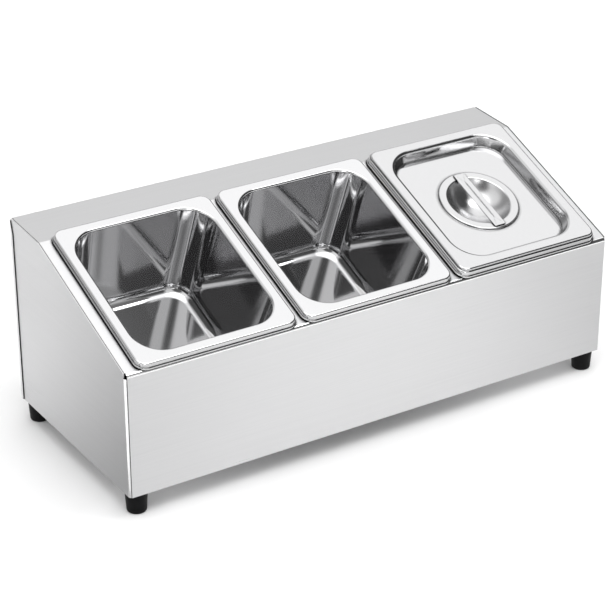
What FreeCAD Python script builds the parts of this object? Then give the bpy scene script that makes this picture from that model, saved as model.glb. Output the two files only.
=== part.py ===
import FreeCAD, Part
import Sketcher
import math
import os
import re

# A free-standing condiment server: a folded sheet housing whose sloping deck carries three drop-in
# pans, one of them under a lift-off lid. Millimetres, +Z up, -Y towards the user, origin on the
# table under the middle of the housing.

SIZES = {
    # Housing, measured outside, with heights above its bottom edge
    "body_width": 530.0,
    "body_depth": 220.5,
    "front_height": 122.0,
    "back_height": 188.5,
    "ledge_depth": 58.7,
    "ledge_fall": 3.5,
    "sheet_thickness": 0.8,
    "inside_bend": 1.6,
    "front_bend": 3.2,
    "cut_overrun": 5.0,
    # Top sheet: front panel, deck and ledge
    "front_seam": 2.1,
    "corner_relief": 4.0,
    "deck_flange": 12.0,
    "flange_bend": 0.4,
    "rear_flange": 15.0,
    "cutout_clearance": 2.0,
    # Side panels
    "side_flange": 16.0,
    "flange_gap": 0.6,
    "corner_notch": 3.4,
    # Back panel
    "back_panel_drop": 2.6,
    "return_width": 5.5,
    "return_taper": 13.0,
    # Base tray
    "tray_height": 15.0,
    # Channels under the webs of the deck
    "channel_width": 18.0,
    "channel_depth": 12.0,
    "channel_end_gap": 9.0,
    # Feet
    "foot_height": 21.2,
    "foot_top_radius": 10.6,
    "foot_bottom_radius": 9.2,
    "foot_edge": 1.6,
    "foot_inset": 12.2,
    "foot_bore_radius": 5.4,
    "foot_bore_depth": 11.2,
    # Screws, washers and nuts that hold the feet
    "foot_screw_radius": 2.5,
    "foot_screw_length": 16.0,
    "foot_screw_head_radius": 4.4,
    "foot_screw_head_height": 2.8,
    "foot_hole_clearance": 0.3,
    "foot_washer_radius": 5.0,
    "foot_washer_thickness": 1.0,
    "foot_nut_across": 8.0,
    "foot_nut_height": 4.0,
    "thread_clearance": 0.05,
    # Screws that hold the back panel
    "panel_screw_radius": 1.5,
    "panel_screw_length": 8.0,
    "panel_screw_head_radius": 3.0,
    "panel_screw_head_height": 1.8,
    "panel_hole_clearance": 0.2,
    "panel_screw_margin": 26.0,
    "panel_screw_spread_share": 0.25,
    # Pans, with heights above the deck
    "pan_gap": 8.5,
    "pan_sheet": 0.8,
    "pan_depth": 100.0,
    "rim_width": 162.0,
    "rim_length": 176.0,
    "rim_height": 7.0,
    "rim_front_gap": 0.9,
    "rim_corner": 10.0,
    "rim_edge": 1.8,
    "hem_proud": 1.0,
    "hem_height": 2.0,
    "rim_flat": 10.5,
    "mouth_corner": 28.0,
    "mouth_edge": 2.6,
    "wall_taper": 7.0,
    "floor_corner": 24.0,
    "floor_edge": 12.0,
    # Lid
    "lid_sheet": 0.8,
    "lid_inset": 1.4,
    "lid_flange": 11.6,
    "lid_corner": 9.0,
    "lid_lip": 2.6,
    "lid_edge": 1.7,
    "recess_corner": 29.0,
    "recess_depth": 11.2,
    "recess_draft": 4.0,
    "recess_edge": 2.4,
    "ring_radius": 40.5,
    "ring_rise": 2.0,
    "ring_edge": 1.4,
    "bowl_radius": 32.0,
    "bowl_depth": 18.0,
    "bowl_edge": 2.4,
    # Lid handle strap
    "strap_width": 12.6,
    "strap_length": 76.0,
    "strap_thickness": 1.2,
    "strap_corner": 2.0,
    "strap_edge": 0.4,
    "crease_length": 49.0,
    "crease_width": 1.2,
    "crease_depth": 0.5,
}

doc = FreeCAD.newDocument("condiment_server")
sheet = doc.addObject("Spreadsheet::Sheet", "Sizes")
for row, (alias, value) in enumerate(SIZES.items(), start=1):
    sheet.set(f"A{row}", alias)
    sheet.set(f"B{row}", str(value))
    sheet.setAlias(f"B{row}", alias)
doc.recompute()

# Formulas are written in the names of the sizes. These are the places that several pieces share.
DECK_ANGLE = "atan((back_height - ledge_fall - front_height) / (body_depth - ledge_depth))"
LEDGE_ANGLE = "atan(ledge_fall / ledge_depth)"
DECK_LENGTH = f"(body_depth - ledge_depth) / cos({DECK_ANGLE})"
OUTSIDE_BEND = "(inside_bend + sheet_thickness)"
HALF_WIDTH = "body_width / 2"
HALF_DEPTH = "body_depth / 2"
FRONT_EDGE = (f"-{HALF_DEPTH}", "foot_height + front_height")
KNEE_EDGE = (f"{HALF_DEPTH} - ledge_depth", "foot_height + back_height - ledge_fall")
REAR_EDGE = (
    f"{HALF_DEPTH} - sheet_thickness",
    f"foot_height + back_height - sheet_thickness * tan({LEDGE_ANGLE})",
)
PAN_ALONG = "rim_front_gap + rim_length / 2"
PAN_PITCH = "(rim_width + pan_gap)"
MOUTH_WIDTH = "(rim_width - 2 * rim_flat)"
MOUTH_LENGTH = "(rim_length - 2 * rim_flat)"
FLOOR_WIDTH = f"({MOUTH_WIDTH} - 2 * wall_taper)"
FLOOR_LENGTH = f"({MOUTH_LENGTH} - 2 * wall_taper)"
LID_WIDTH = "(rim_width - 2 * lid_inset)"
LID_LENGTH = "(rim_length - 2 * lid_inset)"
RECESS_WIDTH = f"({LID_WIDTH} - 2 * lid_flange)"
RECESS_LENGTH = f"({LID_LENGTH} - 2 * lid_flange)"
LID_TOP = "rim_height + lid_lip"
LID_PANEL = f"{LID_TOP} - recess_depth"
RING_TOP = f"{LID_PANEL} + ring_rise"
SIDE_SHARES = {"left": -1, "right": 1}
END_SHARES = {"front": -1, "back": 1}
PITCH_SHARES = {"left_pan": -1, "middle_pan": 0, "right_pan": 1}
NEAR_SHARE = 1e-5
nodes = []


def bind(formula):
    """The formula with the name of each size turned into a reference to its cell."""
    return re.sub(r"[a-z_]+", lambda word: f"Sizes.{word[0]}" if word[0] in SIZES else word[0], formula)


def measure(formula):
    """What a formula comes to, in millimetres or degrees."""
    result = sheet.evalExpression(bind(formula))
    return float(getattr(result, "Value", result))


NEAR = measure("body_width") * NEAR_SHARE


def new_body(label):
    """An empty body that is handed in as a node under its label."""
    body = doc.addObject("PartDesign::Body", label)
    body.Label = label
    nodes.append(body)
    return body


def new_sketch(body, plane, raised="0"):
    """A sketch on one of the body's own planes, raised along that plane's normal."""
    sketch = body.newObject("Sketcher::SketchObject", f"{body.Name}_sketch")
    planes = {feature.Role: feature for feature in body.Origin.OriginFeatures}
    sketch.AttachmentSupport = [(planes[plane], "")]
    sketch.MapMode = "FlatFace"
    if raised != "0":
        sketch.setExpression("AttachmentOffset.Base.z", bind(raised))
    return sketch


def place_point(sketch, edge, end, place):
    """Ties one end of an edge, or a circle's centre, to two formulas. The sketch's own axes are its edges
    -1, across, and -2, up, and the first of them starts at the origin."""
    ties = (("DistanceX", -2, place[0]), ("DistanceY", -1, place[1]))
    for kind, axis, formula in ties:
        if formula == "0":
            sketch.addConstraint(Sketcher.Constraint("PointOnObject", edge, end, axis))
            continue
        tie = Sketcher.Constraint(kind, -1, 1, edge, end, measure(formula))
        number = sketch.addConstraint(tie)
        sketch.setExpression(f"Constraints[{number}]", bind(formula))


def bind_radius(sketch, edge, radius):
    """Ties the radius of an arc or a circle to a formula."""
    number = sketch.addConstraint(Sketcher.Constraint("Radius", edge, measure(radius)))
    sketch.setExpression(f"Constraints[{number}]", bind(radius))


def arc_between(start, end, radius, turn):
    """The arc of less than a half circle from start to end; turn is 1 to the left, -1 to the right."""
    chord = end - start
    rise = math.sqrt(max(radius**2 - (chord.Length / 2) ** 2, 0))
    across = FreeCAD.Vector(-chord.y, chord.x, 0).normalize()
    centre = start + chord / 2 + across * rise * turn
    angles = [math.atan2(point.y - centre.y, point.x - centre.x) for point in (start, end)]
    if turn < 0:
        angles.reverse()
    circle = Part.Circle(centre, FreeCAD.Vector(0, 0, 1), radius)
    return Part.ArcOfCircle(circle, angles[0], angles[1])


def draw_path(sketch, steps):
    """A closed outline. Each step is a point (across, up), and the edge from it to the next point is
    straight, or an arc where the step also gives (radius, turn)."""
    first = sketch.GeometryCount
    count = len(steps)
    points = [FreeCAD.Vector(measure(step[0]), measure(step[1]), 0) for step in steps]
    ends = []
    for index, step in enumerate(steps):
        start = points[index]
        end = points[(index + 1) % count]
        if len(step) == 2:
            sketch.addGeometry(Part.LineSegment(start, end), False)
            ends.append((1, 2))
            continue
        sketch.addGeometry(arc_between(start, end, measure(step[2]), step[3]), False)
        ends.append((1, 2) if step[3] > 0 else (2, 1))
    for index, step in enumerate(steps):
        following = (index + 1) % count
        joint = (first + index, ends[index][1], first + following, ends[following][0])
        sketch.addConstraint(Sketcher.Constraint("Coincident", *joint))
        place_point(sketch, first + index, ends[index][0], step)
        if len(step) > 2:
            bind_radius(sketch, first + index, step[2])


def draw_circle(sketch, centre, radius):
    """A full circle about a point."""
    middle = FreeCAD.Vector(measure(centre[0]), measure(centre[1]), 0)
    edge = sketch.addGeometry(Part.Circle(middle, FreeCAD.Vector(0, 0, 1), measure(radius)), False)
    place_point(sketch, edge, 3, centre)
    bind_radius(sketch, edge, radius)


def rounded_rectangle(width, length, corner, centre=("0", "0")):
    """The outline of a rectangle with round corners, as steps for draw_path."""
    left = f"{centre[0]} - ({width}) / 2"
    right = f"{centre[0]} + ({width}) / 2"
    low = f"{centre[1]} - ({length}) / 2"
    high = f"{centre[1]} + ({length}) / 2"
    return [
        (f"{left} + {corner}", low),
        (f"{right} - ({corner})", low, corner, 1),
        (right, f"{low} + {corner}"),
        (right, f"{high} - ({corner})", corner, 1),
        (f"{right} - ({corner})", high),
        (f"{left} + {corner}", high, corner, 1),
        (left, f"{high} - ({corner})"),
        (left, f"{low} + {corner}", corner, 1),
    ]


def inset_corner(corner, before, after, inset):
    """Where a corner of a path comes to when the path moves to its right by inset."""
    spread = f"{inset} / cos(({before} - ({after})) / 2)"
    middle = f"(({before} + ({after})) / 2)"
    return (f"{corner[0]} + {spread} * sin({middle})", f"{corner[1]} - {spread} * cos({middle})")


def fold_profile(corners, headings, thickness, bend, first_bend=None):
    """The section of a folded sheet whose outer face runs through the corners, turning right at each.
    A heading is the direction of the run that leaves a corner. The first fold may have its own bend."""
    bends = [first_bend or bend] + [bend] * len(corners)
    turns = [(headings[0], headings[0])]
    turns += list(zip(headings, headings[1:]))
    turns.append((headings[-1], headings[-1]))
    outer = [corners[0]]
    inner = [inset_corner(corners[0], *turns[0], thickness)]
    for corner, (before, after), inside in zip(corners[1:-1], turns[1:-1], bends):
        outside = f"({inside} + {thickness})"
        half = f"tan(({before} - ({after})) / 2)"
        across, up = corner
        reach = f"{outside} * {half}"
        outer.append((f"{across} - {reach} * cos({before})", f"{up} - {reach} * sin({before})", outside, -1))
        outer.append((f"{across} + {reach} * cos({after})", f"{up} + {reach} * sin({after})"))
        across, up = inset_corner(corner, before, after, thickness)
        reach = f"{inside} * {half}"
        inner.append((f"{across} - {reach} * cos({before})", f"{up} - {reach} * sin({before})"))
        inner.append((f"{across} + {reach} * cos({after})", f"{up} + {reach} * sin({after})", inside, 1))
    outer.append(corners[-1])
    inner.append(inset_corner(corners[-1], *turns[-1], thickness))
    return outer + inner[::-1]


def add_pad(body, sketch, length, symmetric=False):
    """Thickens a sketch into the body, along its normal or both ways from it."""
    pad = body.newObject("PartDesign::Pad", f"{body.Name}_pad")
    pad.Profile = sketch
    pad.SideType = "Symmetric" if symmetric else "One side"
    pad.setExpression("Length", bind(length))


def cut_through(body, sketch, length):
    """Cuts a sketch out of the body, half the length to each side of the sketch's plane."""
    doc.recompute()
    before = body.Shape.Volume
    pocket = body.newObject("PartDesign::Pocket", f"{body.Name}_pocket")
    pocket.Profile = sketch
    pocket.SideType = "Symmetric"
    pocket.setExpression("Length", bind(length))
    doc.recompute()
    if body.Shape.Volume >= before:
        raise RuntimeError(f"a cut in {body.Label} removes nothing")


def add_loft(body, kind, start, end):
    """Adds or takes away the straight-sided form between two sketches."""
    loft = body.newObject(f"PartDesign::{kind}Loft", f"{body.Name}_loft")
    loft.Profile = start
    loft.Sections = [end]
    loft.Ruled = True


def add_revolution(body, sketch):
    """Turns a sketch a full circle about its upright axis."""
    turned = body.newObject("PartDesign::Revolution", f"{body.Name}_revolution")
    turned.Profile = sketch
    turned.ReferenceAxis = (sketch, ["V_Axis"])


def round_edges(body, radius, chosen):
    """Rounds the edges of the body whose middle point passes the test."""
    doc.recompute()
    base = body.Tip
    middles = [edge.valueAt((edge.FirstParameter + edge.LastParameter) / 2) for edge in base.Shape.Edges]
    names = [f"Edge{number}" for number, middle in enumerate(middles, start=1) if chosen(middle)]
    if not names:
        raise RuntimeError(f"no edge to round on {body.Label}")
    fillet = body.newObject("PartDesign::Fillet", f"{body.Name}_fillet")
    fillet.Base = (base, names)
    fillet.setExpression("Radius", bind(radius))


def put(piece, across="0", along="0", up="0"):
    """Places a piece by formulas."""
    for axis, formula in zip("xyz", (across, along, up)):
        if formula != "0":
            piece.setExpression(f"Placement.Base.{axis}", bind(formula))


def put_on_deck(body, across, along):
    """Tilts a body with the deck and places it on the deck's outer face."""
    tilt = FreeCAD.Rotation(FreeCAD.Vector(1, 0, 0), measure(DECK_ANGLE))
    body.Placement = FreeCAD.Placement(FreeCAD.Vector(0, 0, 0), tilt)
    body.setExpression("Placement.Rotation.Angle", bind(DECK_ANGLE))
    behind = f"{FRONT_EDGE[0]} + ({along}) * cos({DECK_ANGLE})"
    above = f"{FRONT_EDGE[1]} + ({along}) * sin({DECK_ANGLE})"
    put(body, across, behind, above)


def near(value, formula):
    """Whether a coordinate is what a formula comes to."""
    return abs(value - measure(formula)) < NEAR


# Holes of the back panel's screws, as formulas across the panel and up from the table
PANEL_HOLE_RADIUS = "panel_screw_radius + panel_hole_clearance"
SIDE_SCREW_LOW = "foot_height + panel_screw_margin"
SIDE_SCREW_HIGH = "foot_height + back_height - rear_flange - panel_screw_margin"
SIDE_SCREW_HEIGHTS = (SIDE_SCREW_LOW, f"({SIDE_SCREW_LOW} + {SIDE_SCREW_HIGH}) / 2", SIDE_SCREW_HIGH)
TOP_SCREW_HEIGHT = f"{REAR_EDGE[1]} - (rear_flange + back_panel_drop) / 2"
TRAY_SCREW_HEIGHT = "foot_height + tray_height / 2"
side_screws = {
    side: [(f"{sign} * ({HALF_WIDTH} - side_flange / 2)", height) for height in SIDE_SCREW_HEIGHTS]
    for side, sign in SIDE_SHARES.items()
}
top_screws = [(f"{sign} * body_width * panel_screw_spread_share", TOP_SCREW_HEIGHT) for sign in (-1, 1)]
tray_screws = [(f"{sign} * body_width * panel_screw_spread_share", TRAY_SCREW_HEIGHT) for sign in (-1, 1)]
panel_screws = side_screws["left"] + side_screws["right"] + top_screws + tray_screws


def drill_from_behind(body, places):
    """Drills holes for the back panel's screws through whatever of the body lies at its rear."""
    sketch = new_sketch(body, "XZ_Plane", f"-{HALF_DEPTH}")
    for place in places:
        draw_circle(sketch, place, PANEL_HOLE_RADIUS)
    cut_through(body, sketch, "2 * panel_screw_length")


def below_top(middle):
    """How far a point lies under the outer faces of the deck and the ledge."""
    depths = []
    for edge, angle in ((FRONT_EDGE, DECK_ANGLE), (REAR_EDGE, LEDGE_ANGLE)):
        slope = math.radians(measure(angle))
        behind = middle.y - measure(edge[0])
        above = middle.z - measure(edge[1])
        depths.append(behind * math.sin(slope) - above * math.cos(slope))
    return min(depths)


def make_top_sheet():
    """Front panel, sloping deck with a cut-out for each pan, and rear ledge, folded from one sheet.
    Flanges along the deck and ledge turn down inside the side panels, one turns down at the rear."""
    body = new_body("top_sheet")
    corners = [
        (FRONT_EDGE[0], "foot_height"),
        FRONT_EDGE,
        KNEE_EDGE,
        REAR_EDGE,
        (REAR_EDGE[0], f"{REAR_EDGE[1]} - rear_flange"),
    ]
    headings = ["90 deg", DECK_ANGLE, LEDGE_ANGLE, "-90 deg"]
    sketch = new_sketch(body, "YZ_Plane")
    draw_path(sketch, fold_profile(corners, headings, "sheet_thickness", "inside_bend", "front_bend"))
    add_pad(body, sketch, "body_width - 2 * front_seam", symmetric=True)
    edge_run = [
        (f"{FRONT_EDGE[0]} + corner_relief * cos({DECK_ANGLE})",
         f"{FRONT_EDGE[1]} + corner_relief * sin({DECK_ANGLE})"),
        KNEE_EDGE,
        (f"{REAR_EDGE[0]} - corner_relief * cos({LEDGE_ANGLE})",
         f"{REAR_EDGE[1]} - corner_relief * sin({LEDGE_ANGLE})"),
    ]
    upper_run = fold_profile(edge_run, headings[1:3], "sheet_thickness", "inside_bend")
    turns = [(DECK_ANGLE, DECK_ANGLE), (DECK_ANGLE, LEDGE_ANGLE), (LEDGE_ANGLE, LEDGE_ANGLE)]
    lower_run = [inset_corner(corner, *turn, "deck_flange") for corner, turn in zip(edge_run, turns)]
    band = upper_run[:len(upper_run) // 2] + lower_run[::-1]
    strip_width = "(front_seam - sheet_thickness)"
    inner_edge = f"{HALF_WIDTH} - front_seam"
    outer_edge = f"{HALF_WIDTH} - sheet_thickness"
    flange_face = f"{HALF_WIDTH} - 2 * sheet_thickness"
    for strip_start, band_start in ((f"-({outer_edge})", f"-({outer_edge})"), (inner_edge, flange_face)):
        for start, outline, width in (
            (strip_start, upper_run, strip_width),
            (band_start, band, "sheet_thickness"),
        ):
            sketch = new_sketch(body, "YZ_Plane", start)
            draw_path(sketch, outline)
            add_pad(body, sketch, width)
    half_sheet = measure("sheet_thickness") / 2
    round_edges(
        body, "flange_bend + sheet_thickness",
        lambda middle: near(abs(middle.x), outer_edge) and below_top(middle) < half_sheet,
    )
    round_edges(
        body, "flange_bend",
        lambda middle: near(abs(middle.x), flange_face) and half_sheet < below_top(middle) < 3 * half_sheet,
    )
    sketch = new_sketch(body, "XY_Plane")
    tilt = FreeCAD.Rotation(FreeCAD.Vector(1, 0, 0), measure(DECK_ANGLE))
    sketch.AttachmentOffset = FreeCAD.Placement(FreeCAD.Vector(0, 0, 0), tilt)
    sketch.setExpression("AttachmentOffset.Base.y", bind(FRONT_EDGE[0]))
    sketch.setExpression("AttachmentOffset.Base.z", bind(FRONT_EDGE[1]))
    sketch.setExpression("AttachmentOffset.Rotation.Angle", bind(DECK_ANGLE))
    margin = "pan_sheet + cutout_clearance"
    for step in PITCH_SHARES.values():
        draw_path(sketch, rounded_rectangle(
            f"{MOUTH_WIDTH} + 2 * ({margin})",
            f"{MOUTH_LENGTH} + 2 * ({margin})",
            f"mouth_corner + {margin}",
            (f"{step} * {PAN_PITCH}", PAN_ALONG),
        ))
    cut_through(body, sketch, "4 * sheet_thickness")
    drill_from_behind(body, top_screws)


def make_side_panel(side):
    """A side of the housing, with flanges folded in behind the front panel and the back panel. Its
    upper edge follows the deck and the ledge, and notches clear their bends."""
    sign = SIDE_SHARES[side]
    body = new_body(f"{side}_side_panel")
    front = f"-{HALF_DEPTH} + sheet_thickness"
    rear = f"{HALF_DEPTH} - sheet_thickness"
    wall = f"{sign} * {HALF_WIDTH}"
    flange_end = f"{sign} * ({HALF_WIDTH} - side_flange)"
    corners = [(flange_end, front), (wall, front), (wall, rear), (flange_end, rear)]
    headings = ["180 deg", "90 deg", "0 deg"]
    if sign > 0:
        corners.reverse()
        headings = ["0 deg", "-90 deg", "-180 deg"]
    sketch = new_sketch(body, "XY_Plane", "foot_height")
    draw_path(sketch, fold_profile(corners, headings, "sheet_thickness", "inside_bend"))
    add_pad(body, sketch, "back_height")
    notch_front = f"{front} + {OUTSIDE_BEND}"
    notch_rear = f"{rear} - {OUTSIDE_BEND}"
    notch_low = f"{FRONT_EDGE[1]} - corner_notch"
    flange_top = f"{REAR_EDGE[1]} - rear_flange - flange_gap"
    clear = "foot_height + back_height + cut_overrun"
    sketch = new_sketch(body, "YZ_Plane")
    draw_path(sketch, [
        (f"{front} - cut_overrun", notch_low),
        (notch_front, notch_low),
        (notch_front, f"{FRONT_EDGE[1]} + ({notch_front} - ({FRONT_EDGE[0]})) * tan({DECK_ANGLE})"),
        KNEE_EDGE,
        (notch_rear, f"{REAR_EDGE[1]} + ({notch_rear} - ({REAR_EDGE[0]})) * tan({LEDGE_ANGLE})"),
        (notch_rear, flange_top),
        (f"{rear} + cut_overrun", flange_top),
        (f"{rear} + cut_overrun", clear),
        (f"{front} - cut_overrun", clear),
    ])
    cut_through(body, sketch, "body_width + 2 * cut_overrun")
    drill_from_behind(body, side_screws[side])


def make_back_panel():
    """The rear cover. Its returns lie on the outside of the side panels and taper at the top."""
    body = new_body("back_panel")
    outside = f"({HALF_WIDTH} + sheet_thickness)"
    corners = [
        (f"-{outside}", f"{HALF_DEPTH} - return_width"),
        (f"-{outside}", HALF_DEPTH),
        (outside, HALF_DEPTH),
        (outside, f"{HALF_DEPTH} - return_width"),
    ]
    headings = ["90 deg", "0 deg", "-90 deg"]
    sketch = new_sketch(body, "XY_Plane", "foot_height")
    draw_path(sketch, fold_profile(corners, headings, "sheet_thickness", "inside_bend"))
    top = f"{REAR_EDGE[1]} - back_panel_drop"
    add_pad(body, sketch, f"{top} - foot_height")
    sketch = new_sketch(body, "YZ_Plane")
    taper_start = f"{HALF_DEPTH} - {OUTSIDE_BEND}"
    taper_end = f"{HALF_DEPTH} - return_width"
    draw_path(sketch, [
        (taper_start, top),
        (taper_start, f"{top} + cut_overrun"),
        (f"{taper_end} - cut_overrun", f"{top} + cut_overrun"),
        (f"{taper_end} - cut_overrun", f"{top} - return_taper"),
        (taper_end, f"{top} - return_taper"),
    ])
    cut_through(body, sketch, f"2 * ({outside} + cut_overrun)")
    drill_from_behind(body, panel_screws)


def make_base_tray():
    """A shallow tray that closes the bottom, with upturned edges inside the walls' flanges."""
    body = new_body("base_tray")
    width = "body_width - 2 * sheet_thickness"
    depth = "body_depth - 4 * sheet_thickness"
    sketch = new_sketch(body, "XY_Plane", "foot_height")
    draw_path(sketch, rounded_rectangle(width, depth, OUTSIDE_BEND))
    add_pad(body, sketch, "tray_height")
    inside_width = f"{width} - 2 * sheet_thickness"
    inside_depth = f"{depth} - 2 * sheet_thickness"
    sketch = new_sketch(body, "XY_Plane", "foot_height + tray_height")
    draw_path(sketch, rounded_rectangle(inside_width, inside_depth, "inside_bend"))
    cut_through(body, sketch, "2 * (tray_height - sheet_thickness)")
    round_edges(body, "inside_bend", lambda middle: near(middle.z, "foot_height + sheet_thickness"))
    round_edges(body, OUTSIDE_BEND, lambda middle: near(middle.z, "foot_height"))
    sketch = new_sketch(body, "XY_Plane", "foot_height")
    for place in foot_places.values():
        draw_circle(sketch, place, "foot_screw_radius + foot_hole_clearance")
    cut_through(body, sketch, "4 * sheet_thickness")
    drill_from_behind(body, tray_screws)


def make_deck_channel(side):
    """A channel under the web of the deck between two pans, welded by its flat back."""
    body = new_body(f"{side}_deck_channel")
    back = "-sheet_thickness"
    leg_end = f"{back} - channel_depth"
    half = "channel_width / 2"
    corners = [(f"-{half}", leg_end), (f"-{half}", back), (half, back), (half, leg_end)]
    sketch = new_sketch(body, "XZ_Plane")
    headings = ["90 deg", "0 deg", "-90 deg"]
    draw_path(sketch, fold_profile(corners, headings, "sheet_thickness", "inside_bend"))
    add_pad(body, sketch, f"{DECK_LENGTH} - 2 * channel_end_gap", symmetric=True)
    put_on_deck(body, f"{SIDE_SHARES[side]} * {PAN_PITCH} / 2", f"{DECK_LENGTH} / 2")


foot_places = {
    f"{end}_{side}": (
        f"{across} * ({HALF_WIDTH} - foot_inset)",
        f"{along} * ({HALF_DEPTH} - foot_inset)",
    )
    for end, along in END_SHARES.items()
    for side, across in SIDE_SHARES.items()
}


def make_foot(corner):
    """A tapered rubber foot, bored from below for the head of its screw."""
    body = new_body(f"{corner}_foot")
    hole = "foot_screw_radius + foot_hole_clearance"
    sketch = new_sketch(body, "XZ_Plane")
    draw_path(sketch, [
        (hole, "foot_bore_depth"),
        ("foot_bore_radius", "foot_bore_depth"),
        ("foot_bore_radius", "0"),
        ("foot_bottom_radius", "0"),
        ("foot_top_radius", "foot_height"),
        (hole, "foot_height"),
    ])
    add_revolution(body, sketch)
    rim = measure("(foot_bore_radius + foot_bottom_radius) / 2")
    round_edges(
        body, "foot_edge",
        lambda middle: near(middle.z, "0") and math.hypot(middle.x, middle.y) > rim,
    )
    put(body, *foot_places[corner])


def add_cylinder(name, radius, height, place):
    """An upright cylinder standing on a place given by formulas."""
    cylinder = doc.addObject("Part::Cylinder", name)
    cylinder.setExpression("Radius", bind(radius))
    cylinder.setExpression("Height", bind(height))
    put(cylinder, *place)
    return cylinder


def combine(kind, name, base, tool):
    """Joins two solids, or cuts the second from the first."""
    result = doc.addObject(f"Part::{kind}", name)
    result.Base = base
    result.Tool = tool
    return result


def group(label, solids):
    """Like pieces kept as separate solids of one node."""
    compound = doc.addObject("Part::Compound", label)
    compound.Label = label
    compound.Links = solids
    nodes.append(compound)


def make_foot_fasteners():
    """For each foot a pan-head screw from below, a washer under its head and a nut in the tray."""
    washer_up = "foot_bore_depth - foot_washer_thickness"
    nut_up = "foot_height + sheet_thickness"
    screws = []
    washers = []
    nuts = []
    for across, along in foot_places.values():
        head_place = (across, along, f"{washer_up} - foot_screw_head_height")
        head = add_cylinder("foot_head", "foot_screw_head_radius", "foot_screw_head_height", head_place)
        seat = (across, along, washer_up)
        shank = add_cylinder("foot_shank", "foot_screw_radius", "foot_screw_length", seat)
        screws.append(combine("Fuse", "foot_screw", head, shank))
        hole = "foot_screw_radius + foot_hole_clearance"
        disc = add_cylinder("foot_disc", "foot_washer_radius", "foot_washer_thickness", seat)
        bore = add_cylinder("foot_disc_bore", hole, "foot_washer_thickness", seat)
        washers.append(combine("Cut", "foot_washer", disc, bore))
        prism = doc.addObject("Part::Prism", "foot_nut_prism")
        prism.Polygon = 6
        prism.setExpression("Circumradius", bind("foot_nut_across / sqrt(3)"))
        prism.setExpression("Height", bind("foot_nut_height"))
        put(prism, across, along, nut_up)
        thread = "foot_screw_radius + thread_clearance"
        bore = add_cylinder("foot_nut_bore", thread, "foot_nut_height", (across, along, nut_up))
        nuts.append(combine("Cut", "foot_nut", prism, bore))
    group("foot_screws", screws)
    group("foot_washers", washers)
    group("foot_nuts", nuts)


def make_panel_screws():
    """The self-tapping screws of the back panel, heads outside."""
    backwards = FreeCAD.Rotation(FreeCAD.Vector(1, 0, 0), 90)
    screws = []
    for across, up in panel_screws:
        head_place = (across, f"{HALF_DEPTH} + panel_screw_head_height", up)
        head = add_cylinder("panel_head", "panel_screw_head_radius", "panel_screw_head_height", head_place)
        seat = (across, HALF_DEPTH, up)
        shank = add_cylinder("panel_shank", "panel_screw_radius", "panel_screw_length", seat)
        for piece in (head, shank):
            piece.Placement = FreeCAD.Placement(piece.Placement.Base, backwards)
        screws.append(combine("Fuse", "panel_screw", head, shank))
    group("back_panel_screws", screws)


def make_pan(label):
    """A deep-drawn pan with tapered walls. Its flat rim turns down to a skirt with a small hem, which
    rests on the deck."""
    body = new_body(label)
    rim_under = "rim_height - pan_sheet"
    sketch = new_sketch(body, "XY_Plane", rim_under)
    draw_path(sketch, rounded_rectangle("rim_width", "rim_length", "rim_corner"))
    add_pad(body, sketch, "pan_sheet")
    skirt_inside = rounded_rectangle(
        "rim_width - 2 * pan_sheet", "rim_length - 2 * pan_sheet", "rim_corner - pan_sheet",
    )
    for proud, height in (("0", rim_under), ("hem_proud", "hem_height")):
        sketch = new_sketch(body, "XY_Plane")
        draw_path(sketch, rounded_rectangle(
            f"rim_width + 2 * {proud}", f"rim_length + 2 * {proud}", f"rim_corner + {proud}",
        ))
        draw_path(sketch, skirt_inside)
        add_pad(body, sketch, height)
    for kind, wall in (("Additive", "pan_sheet"), ("Subtractive", "0")):
        mouth = new_sketch(body, "XY_Plane", "rim_height")
        draw_path(mouth, rounded_rectangle(
            f"{MOUTH_WIDTH} + 2 * {wall}", f"{MOUTH_LENGTH} + 2 * {wall}", f"mouth_corner + {wall}",
        ))
        floor = new_sketch(body, "XY_Plane", f"rim_height - pan_depth - {wall}")
        draw_path(floor, rounded_rectangle(
            f"{FLOOR_WIDTH} + 2 * {wall}", f"{FLOOR_LENGTH} + 2 * {wall}", f"floor_corner + {wall}",
        ))
        add_loft(body, kind, mouth, floor)
    half_width = measure(f"(rim_width + {MOUTH_WIDTH}) / 4")
    half_length = measure(f"(rim_length + {MOUTH_LENGTH}) / 4")

    def outer(middle):
        return abs(middle.x) > half_width or abs(middle.y) > half_length

    rounds = (
        ("rim_edge", lambda middle: near(middle.z, "rim_height") and outer(middle)),
        ("rim_edge - pan_sheet", lambda middle: near(middle.z, rim_under) and outer(middle)),
        ("mouth_edge", lambda middle: near(middle.z, "rim_height") and not outer(middle)),
        ("mouth_edge - pan_sheet", lambda middle: near(middle.z, rim_under) and not outer(middle)),
        ("floor_edge", lambda middle: near(middle.z, "rim_height - pan_depth")),
        ("floor_edge + pan_sheet", lambda middle: near(middle.z, "rim_height - pan_depth - pan_sheet")),
    )
    for radius, chosen in rounds:
        round_edges(body, radius, chosen)
    put_on_deck(body, f"{PITCH_SHARES[label]} * {PAN_PITCH}", PAN_ALONG)


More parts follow.
